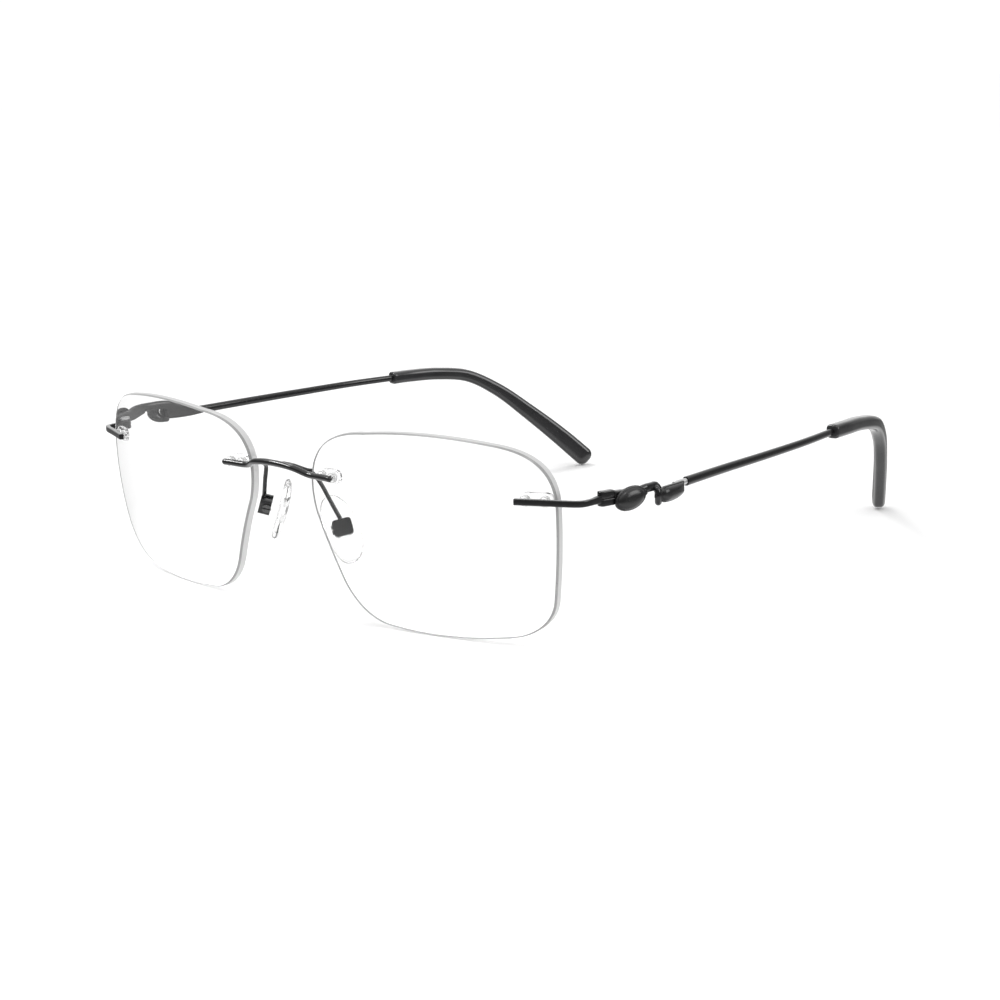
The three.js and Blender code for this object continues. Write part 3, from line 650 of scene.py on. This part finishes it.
def nose_pad(side):
    """A soft teardrop cushion: domed towards the skin, rounded rim, flat back with a shallow rim step."""
    w, h, back = PAD_WIDTH / 2, PAD_LENGTH / 2, PAD_THICKNESS / 2
    outline = closed_outline([
        [(0, -h), (0.75 * w, -h), (1.1 * w, -0.6 * h), (w, -0.1 * h)],
        [(w, -0.1 * h), (0.92 * w, 0.45 * h), (0.45 * w, h), (-0.2 * w, h)],
        [(-0.2 * w, h), (-0.8 * w, h), (-w, 0.75 * h), (-w, 0.35 * h)],
        [(-w, 0.35 * h), (-w, -0.4 * h), (-0.7 * w, -h), (0, -h)],
    ], 72)
    rings = [
        (0.02, -back), (0.25, -0.98 * back), (0.5, -0.88 * back), (0.7, -0.7 * back), (0.86, -0.44 * back),
        (0.95, -0.16 * back), (0.995, 0.15 * back), (1, 0.4 * back), (0.985, 0.7 * back), (0.93, 0.92 * back),
        (0.87, 0.98 * back), (0.8, 0.9 * back), (0.6, 0.86 * back), (0.4, 0.86 * back), (0.02, 0.86 * back),
    ]
    vertices, faces = disc(outline, rings)
    return make_piece(f"{side}_nose_pad_silicone", vertices, faces, side, [SILICONE], None, pad_place(side))


# ---- Hinge: endpiece and temple link -------------------------------------------------------------


def knuckle(level, near, far):
    """One barrel of the hinge and the web that ties it to its plate."""
    low, high = BARREL_LEVELS[level]
    web = rounded_polygon([(0.7, near), (1.6, near), (1.6, far), (0.7, far)], 0.08, 40)
    return together(bush(0.6, BARREL_RADIUS, low, high, 0.09), rounded_slab(web, low, high, 0.05))


def endpiece_bar():
    start, corner = (TEMPORAL_PLACE @ Vector((TEMPORAL_FOOT[end], 0, 0)) for end in ("inner", "outer"))
    block_front = HINGE_PLACE @ Vector((2.0, -2.6, 0))
    block_front.z = start.z
    before = corner + 1.5 * (start - corner).normalized()
    after = corner + 1.5 * (block_front - corner).normalized()
    bend = 0.25 * before + 0.5 * corner + 0.25 * after
    control = [start, start.lerp(before, 0.5), before, bend, after, block_front]
    # The bar grows taller where it meets the block.
    tall = lambda share: BAR_HEIGHT / 2 + 0.15 * smoothstep(share, 0.86, 0.98)
    wide = lambda share: BAR_DEPTH / 2
    return rounded_rod(control, wide, tall, 0.12, 0.05, sides=32, corner=0.3)


def hinge_block():
    """Two rolled bands, one above the other, with a groove between them."""
    band = closed_outline([
        [(1.3, -0.06), (1.3, -1.3), (1.3, -2.6)],
        [(1.3, -2.6), (1.3, -2.9), (1.6, -2.9)],
        [(1.6, -2.9), (2.7, -2.9), (2.7, -2.2)],
        [(2.7, -2.2), (2.7, -1), (2.7, -0.06)],
        [(2.7, -0.06), (2, -0.06), (1.3, -0.06)],
    ], 90)
    return together(
        rounded_slab(band, BLOCK_BOTTOM, BLOCK_GROOVE - BLOCK_GROOVE_HALF, 0.17),
        rounded_slab(band, BLOCK_GROOVE + BLOCK_GROOVE_HALF, BLOCK_TOP, 0.17),
        rounded_slab(inset(band, 0.2), BLOCK_BOTTOM + 0.1, BLOCK_TOP - 0.1, 0.05),
    )


def endpiece(side):
    hinge = together(hinge_block(), knuckle(0, -1.15, -0.15), knuckle(2, -1.15, -0.15))
    vertices, faces = together(endpiece_bar(), moved(HINGE_PLACE, hinge))
    return make_piece(f"{side}_endpiece_casting", vertices, faces, side, [PLATING])


def temple_link(side):
    """The cast link: middle barrel, plate under the oval, arch that hooks round the leaf's front end,
    plate under the leaf, and a bare steel tail that runs to the wire."""
    front = rounded_polygon([(0.06, 26.3), (5.2, 26.3), (7.2, 27), (7, 28), (3.4, 28.45), (0.06, 28.6)], 0.3)
    back = rounded_polygon([(-3.2, -0.7), (3.3, -0.6), (3.6, 0.9), (-3, 1.1)], 0.3)
    in_hinge = together(
        knuckle(1, 0.15, 1.15),
        moved(SIDE_VIEW, rounded_slab(front, PLATE_INNER, PLATE_OUTER, 0.22)),
    )
    arch = [
        HINGE_PLACE @ Vector((1.98, 4.6, 27.35)),
        HINGE_PLACE @ Vector((2.05, 6.9, 27.95)),
        LEAF_PLACE @ Vector((-1.2, -4.7, 1.75)),
        LEAF_PLACE @ Vector((-1.3, -3.1, 1.6)),
        LEAF_PLACE @ Vector((-1.4, -1.9, 0.6)),
    ]
    hook = [
        LEAF_PLACE @ Vector(point)
        for point in (
            (-1.0, -3.7, 1.6), (-0.4, -3.85, 1.25), (-0.15, -3.85, 0.6),
            (-0.2, -3.8, -0.4), (-0.5, -3.4, -1.2), (-0.95, -2.5, -1.3),
        )
    ]
    tail = [LEAF_PLACE @ Vector((-1.2, 2.9, 0.7)), Vector((68.9, WIRE_START_Y - FIT_GAP, 27))]
    tail.insert(1, tail[0].lerp(tail[1], 0.5))
    even = lambda radius: lambda share: radius
    plated = together(
        moved(HINGE_PLACE, in_hinge),
        moved(LEAF_PLACE @ SIDE_VIEW, rounded_slab(back, -1.5, -0.55, 0.15)),
        rounded_rod(arch, even(0.6), even(0.82), 0.2, 0.2, sides=28, corner=0.7),
        rounded_rod(hook, even(0.6), even(0.6), 0.3, 0.3),
    )
    bare = rounded_rod(tail, even(0.55), even(0.6), 0.1, 0.1, sides=20, middle=12)
    vertices, faces = together(plated, bare)
    kinds = [0] * len(plated[1]) + [1] * len(bare[1])
    return make_piece(f"{side}_temple_link_casting", vertices, faces, side, [PLATING, SCREW_STEEL], kinds)


# ---- Plaques -------------------------------------------------------------------------------------


def plaque(name, outline, thickness, side, place):
    """A polished cabochon: a low rim with a shallow groove, then the dome."""
    rings = [
        (0.02, 0), (0.96, 0), (0.995, 0.05), (1, 0.12), (1, 0.26), (0.985, 0.36), (0.955, 0.43),
        (0.92, 0.45), (0.885, 0.43), (0.87, 0.45), (0.85, 0.55), (0.8, 0.66), (0.72, 0.77),
        (0.6, 0.87), (0.45, 0.945), (0.3, 0.98), (0.15, 0.997), (0.02, 1),
    ]
    vertices, faces = disc(outline, [(share, height * thickness) for share, height in rings])
    return make_piece(name, vertices, faces, side, [CABOCHON], None, place @ SIDE_VIEW)


def oval_plaque(side):
    angles = np.linspace(0, 2 * math.pi, 72, endpoint=False)
    outline = np.stack([3.35 * np.cos(angles), 2.12 * np.sin(angles)], axis=1)
    place = HINGE_PLACE @ Matrix.Translation(OVAL_CENTRE) @ Matrix.Rotation(OVAL_TILT, 4, "X")
    return plaque(f"{side}_oval_cabochon", outline, 1.35, side, place)


def leaf_plaque(side):
    outline = closed_outline([
        [(-3.1, 0.1), (-3.05, -1.3), (-1.9, -1.52)],
        [(-1.9, -1.52), (0.3, -1.75), (2.3, -1.48)],
        [(2.3, -1.48), (4.3, -1.1), (4.5, -0.55)],
        [(4.5, -0.55), (4.5, 0.4), (4.5, 1.3)],
        [(4.5, 1.3), (1.5, 1.36), (-1.5, 1.42)],
        [(-1.5, 1.42), (-3, 1.4), (-3.1, 0.1)],
    ], 84)
    place = LEAF_PLACE @ Matrix.Translation((-0.5, 0, 0))
    return plaque(f"{side}_leaf_cabochon", outline, 1.4, side, place)


# ---- Temple wire and sleeve ----------------------------------------------------------------------


def temple_wire(side):
    """A tapering wire, taller than it is wide, that runs on into the sleeve."""
    control = [
        Vector((68.85, WIRE_START_Y, 26.95)),
        Vector((67.8, 50, 26.95)),
        Vector((66.6, 65, 26.85)),
        Vector((65, 80, 26.75)),
        Vector((63, TIP_START_Y, 26.6)),
        Vector((62.7, TIP_START_Y + 2.5, 26.55)),
    ]
    tall = lambda share: 0.87 - 0.16 * share
    wide = lambda share: 0.8 * tall(share)
    vertices, faces = rounded_rod(control, wide, tall, 0.12, 0.1, sides=28, corner=0.8, middle=50)
    return make_piece(f"{side}_temple_rod", vertices, faces, side, [PLATING])


def temple_sleeve(side):
    """The black sleeve behind the ear: nearly round at the wire, a tall paddle at its end."""
    control = [
        Vector((63, TIP_START_Y + FIT_GAP, 26.6)),
        Vector((62.2, 97, 26.45)),
        Vector((60.6, 104.2, 26)),
        Vector((58.5, 112.5, 24.4)),
        Vector((55.2, 119.4, 20.2)),
        Vector((51.3, 125.5, 14.4)),
        Vector((47, 131.5, 8)),
        Vector((42.6, 137.4, 1.02)),
    ]
    wide = lambda share: 1.42
    tall = lambda share: wide(share) * (1 + 0.6 * smoothstep(share, 0.35, 0.97))
    vertices, faces = rounded_rod(control, wide, tall, 0.45, 2, sides=48, corner=0.6, middle=90)
    return make_piece(f"{side}_sleeve", vertices, faces, side, [SLEEVE])


# ---- CAD nodes that stay on show -----------------------------------------------------------------


def soften(node, width, angle=32):
    """Rounds a CAD node's edges for the light, with modifiers only."""
    edges = node.modifiers.new("edges", "BEVEL")
    edges.width = width
    edges.segments = 3
    edges.limit_method = "ANGLE"
    edges.angle_limit = math.radians(angle)
    edges.harden_normals = False
    smooth(node.data, 180)
    normals = node.modifiers.new("normals", "WEIGHTED_NORMAL")
    normals.keep_sharp = False
    normals.weight = 80


def show_cad(name, material, width):
    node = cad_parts[name]
    node.data.materials.clear()
    node.data.materials.append(material)
    soften(node, width)


def stand_for(piece, node, body):
    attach(piece, body)
    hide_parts(node)


def dress_side(side):
    stand_for(lens(side), f"{side}_lens", "front")
    stand_for(pad_arm(side), f"{side}_pad_arm", "front")
    stand_for(nose_pad(side), f"{side}_nose_pad", f"{side}_pad")
    stand_for(endpiece(side), f"{side}_endpiece", "front")
    temple = f"{side}_temple"
    stand_for(temple_link(side), f"{side}_temple_link", temple)
    stand_for(oval_plaque(side), f"{side}_oval_plaque", temple)
    stand_for(leaf_plaque(side), f"{side}_leaf_plaque", temple)
    stand_for(temple_wire(side), f"{side}_temple_wire", temple)
    stand_for(temple_sleeve(side), f"{side}_temple_tip", temple)
    show_cad(f"{side}_pad_box", PLATING, 0.0003)
    show_cad(f"{side}_pad_screw", BLACK_SCREW, 0.00006)
    show_cad(f"{side}_hinge_screw", SCREW_STEEL, 0.00006)
    show_cad(f"{side}_pad_insert", CLEAR_PLASTIC, 0.00012)
    for fixing in ("nasal", "temporal"):
        show_cad(f"{side}_{fixing}_lens_plug", CLEAR_PLASTIC, 0.00012)
        for place in ("inner", "outer"):
            show_cad(f"{side}_{fixing}_lens_pin_{place}", PIN_STEEL, 0.00005)


# ---- Studio --------------------------------------------------------------------------------------


def studio_floor():
    """White paper that fades into the white studio. Reflections show the studio's levels instead of it."""
    bpy.ops.mesh.primitive_plane_add(size=4, location=(0, 0, 0))
    floor = bpy.context.object
    floor.name = "studio_floor"
    floor.visible_glossy = False
    floor.data.materials.append(floor_paper())


def softbox(name, place, width, height, radiance, lights_floor=False):
    """A lamp that looks at the middle of the glasses. Its power follows from its brightness."""
    lamp = bpy.data.lights.new(name, "AREA")
    lamp.shape = "RECTANGLE"
    lamp.size = width
    lamp.size_y = height
    lamp.energy = radiance * math.pi * width * height
    lamp_object = bpy.data.objects.new(name, lamp)
    lamp_object.location = place
    lamp_object.visible_diffuse = lights_floor
    target = Vector((0, 0, 0.02))
    lamp_object.rotation_euler = (target - Vector(place)).to_track_quat("-Z", "Y").to_euler()
    bpy.context.scene.collection.objects.link(lamp_object)


def studio_tent():
    """A white studio. In reflections it has a tent overhead, a backdrop behind the glasses and a dark
    room at eye level, so black gloss shows light and dark bands. Light that came through a lens sees
    plain white."""
    world = bpy.data.worlds.new("studio")
    world.use_nodes = True
    tree = world.node_tree
    direction = tree.nodes.new("ShaderNodeTexCoord").outputs["Generated"]
    height = tree.nodes.new("ShaderNodeSeparateXYZ")
    tree.links.new(direction, height.inputs["Vector"])
    standing = add_node(tree, "ShaderNodeMapRange", From_Min=BACKDROP_FOOT[0], From_Max=BACKDROP_FOOT[1])
    tree.links.new(height.outputs["Z"], standing.inputs["Value"])
    behind = tree.nodes.new("ShaderNodeVectorMath")
    behind.operation = "DOT_PRODUCT"
    behind.inputs[1].default_value = (-math.sin(CAMERA_AZIMUTH), math.cos(CAMERA_AZIMUTH), 0)
    tree.links.new(direction, behind.inputs[0])
    share = add_node(tree, "ShaderNodeMapRange", From_Min=-1)
    tree.links.new(height.outputs["Z"], share.inputs["Value"])
    levels = [((at + 1) / 2, grey(level)) for at, level in TENT_LEVELS]
    overhead = colour_ramp(tree, share.outputs["Result"], *levels)
    levels = [(at, grey(level)) for at, level in BACKDROP_LEVELS]
    backdrop = colour_ramp(tree, behind.outputs["Value"], *levels)
    brighter = tree.nodes.new("ShaderNodeMix")
    brighter.data_type = "RGBA"
    brighter.blend_type = "LIGHTEN"
    tree.links.new(standing.outputs["Result"], brighter.inputs["Factor"])
    tree.links.new(overhead, brighter.inputs["A"])
    tree.links.new(backdrop, brighter.inputs["B"])
    tent = tree.nodes["Background"]
    tent.inputs["Strength"].default_value = TENT_BRIGHTNESS
    tree.links.new(brighter.outputs["Result"], tent.inputs["Color"])
    white = add_node(tree, "ShaderNodeBackground", Color=(1, 1, 1, 1), Strength=STUDIO_WHITE)
    path = tree.nodes.new("ShaderNodeLightPath")
    switch = tree.nodes.new("ShaderNodeMixShader")
    mirrored = math_node(tree, "MULTIPLY", path.outputs["Is Glossy Ray"], path.outputs["Is Reflection Ray"])
    unbent = math_node(tree, "LESS_THAN", path.outputs["Transmission Depth"], 0.5)
    tree.links.new(math_node(tree, "MULTIPLY", mirrored, unbent), switch.inputs["Fac"])
    tree.links.new(white.outputs["Background"], switch.inputs[1])
    tree.links.new(tent.outputs["Background"], switch.inputs[2])
    tree.links.new(switch.outputs["Shader"], tree.nodes["World Output"].inputs["Surface"])
    bpy.context.scene.world = world


def studio_light():
    studio_tent()
    softbox("key", (-0.4, 0.1, 0.75), 0.2, 0.2, 9, True)
    softbox("side", (0.8, 0.24, 0.32), 0.46, 0.46, 5)
    softbox("strip", (-0.5, -0.5, 0.62), 0.55, 0.1, 45)
    softbox("spark", (0.35, -0.25, 0.85), 0.08, 0.08, 40)


def camera():
    az, el, roll = CAMERA_AZIMUTH, CAMERA_ELEVATION, CAMERA_ROLL
    back = Vector((math.sin(az) * math.cos(el), -math.cos(az) * math.cos(el), math.sin(el)))
    level = Vector((math.cos(az), math.sin(az), 0))
    upright = back.cross(level)
    right = math.cos(roll) * level + math.sin(roll) * upright
    up = back.cross(right)
    data = bpy.data.cameras.new("camera")
    data.lens = CAMERA_LENS
    data.sensor_width = CAMERA_SENSOR
    data.clip_start = 0.01
    data.clip_end = 200
    eye = bpy.data.objects.new("camera", data)
    eye.matrix_world = Matrix.Translation(CAMERA_PLACE) @ Matrix((right, up, back)).transposed().to_4x4()
    bpy.context.scene.collection.objects.link(eye)
    bpy.context.scene.camera = eye


def colour_management():
    view = bpy.context.scene.view_settings
    view.view_transform = "Standard"
    view.look = "None"


camera()
studio_light()
studio_floor()
colour_management()

stand_for(bridge(), "bridge", "front")
for side_name in SIDES:
    dress_side(side_name)
